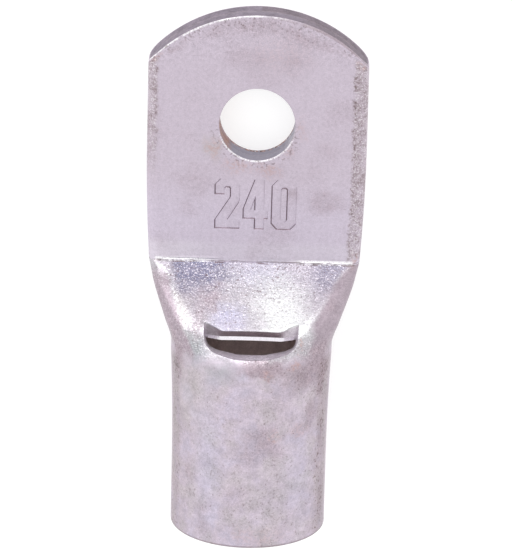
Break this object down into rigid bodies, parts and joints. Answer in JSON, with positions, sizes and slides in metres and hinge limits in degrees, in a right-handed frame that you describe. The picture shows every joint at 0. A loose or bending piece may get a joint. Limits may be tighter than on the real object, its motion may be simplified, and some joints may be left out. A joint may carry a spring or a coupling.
{
  "type": "tubular cable lug",
  "caption": "Tinned copper tube lug for a 240 mm2 conductor, with a flat palm for an M12 stud and a sight window in its neck.",
  "frame": {"origin": "centre of the stud hole on the palm's mounting face, which faces down", "axes": "+Z out of the palm's front face, +Y towards the palm's rounded tip, so that the barrel opens towards -Y"},
  "size_m": [0.0376, 0.0891, 0.0265],
  "materials": {
    "tinned_copper": "satin"
  },
  "bodies": {
    "root": {"cable_lug": "tinned_copper"}
  },
  "joints": []
}
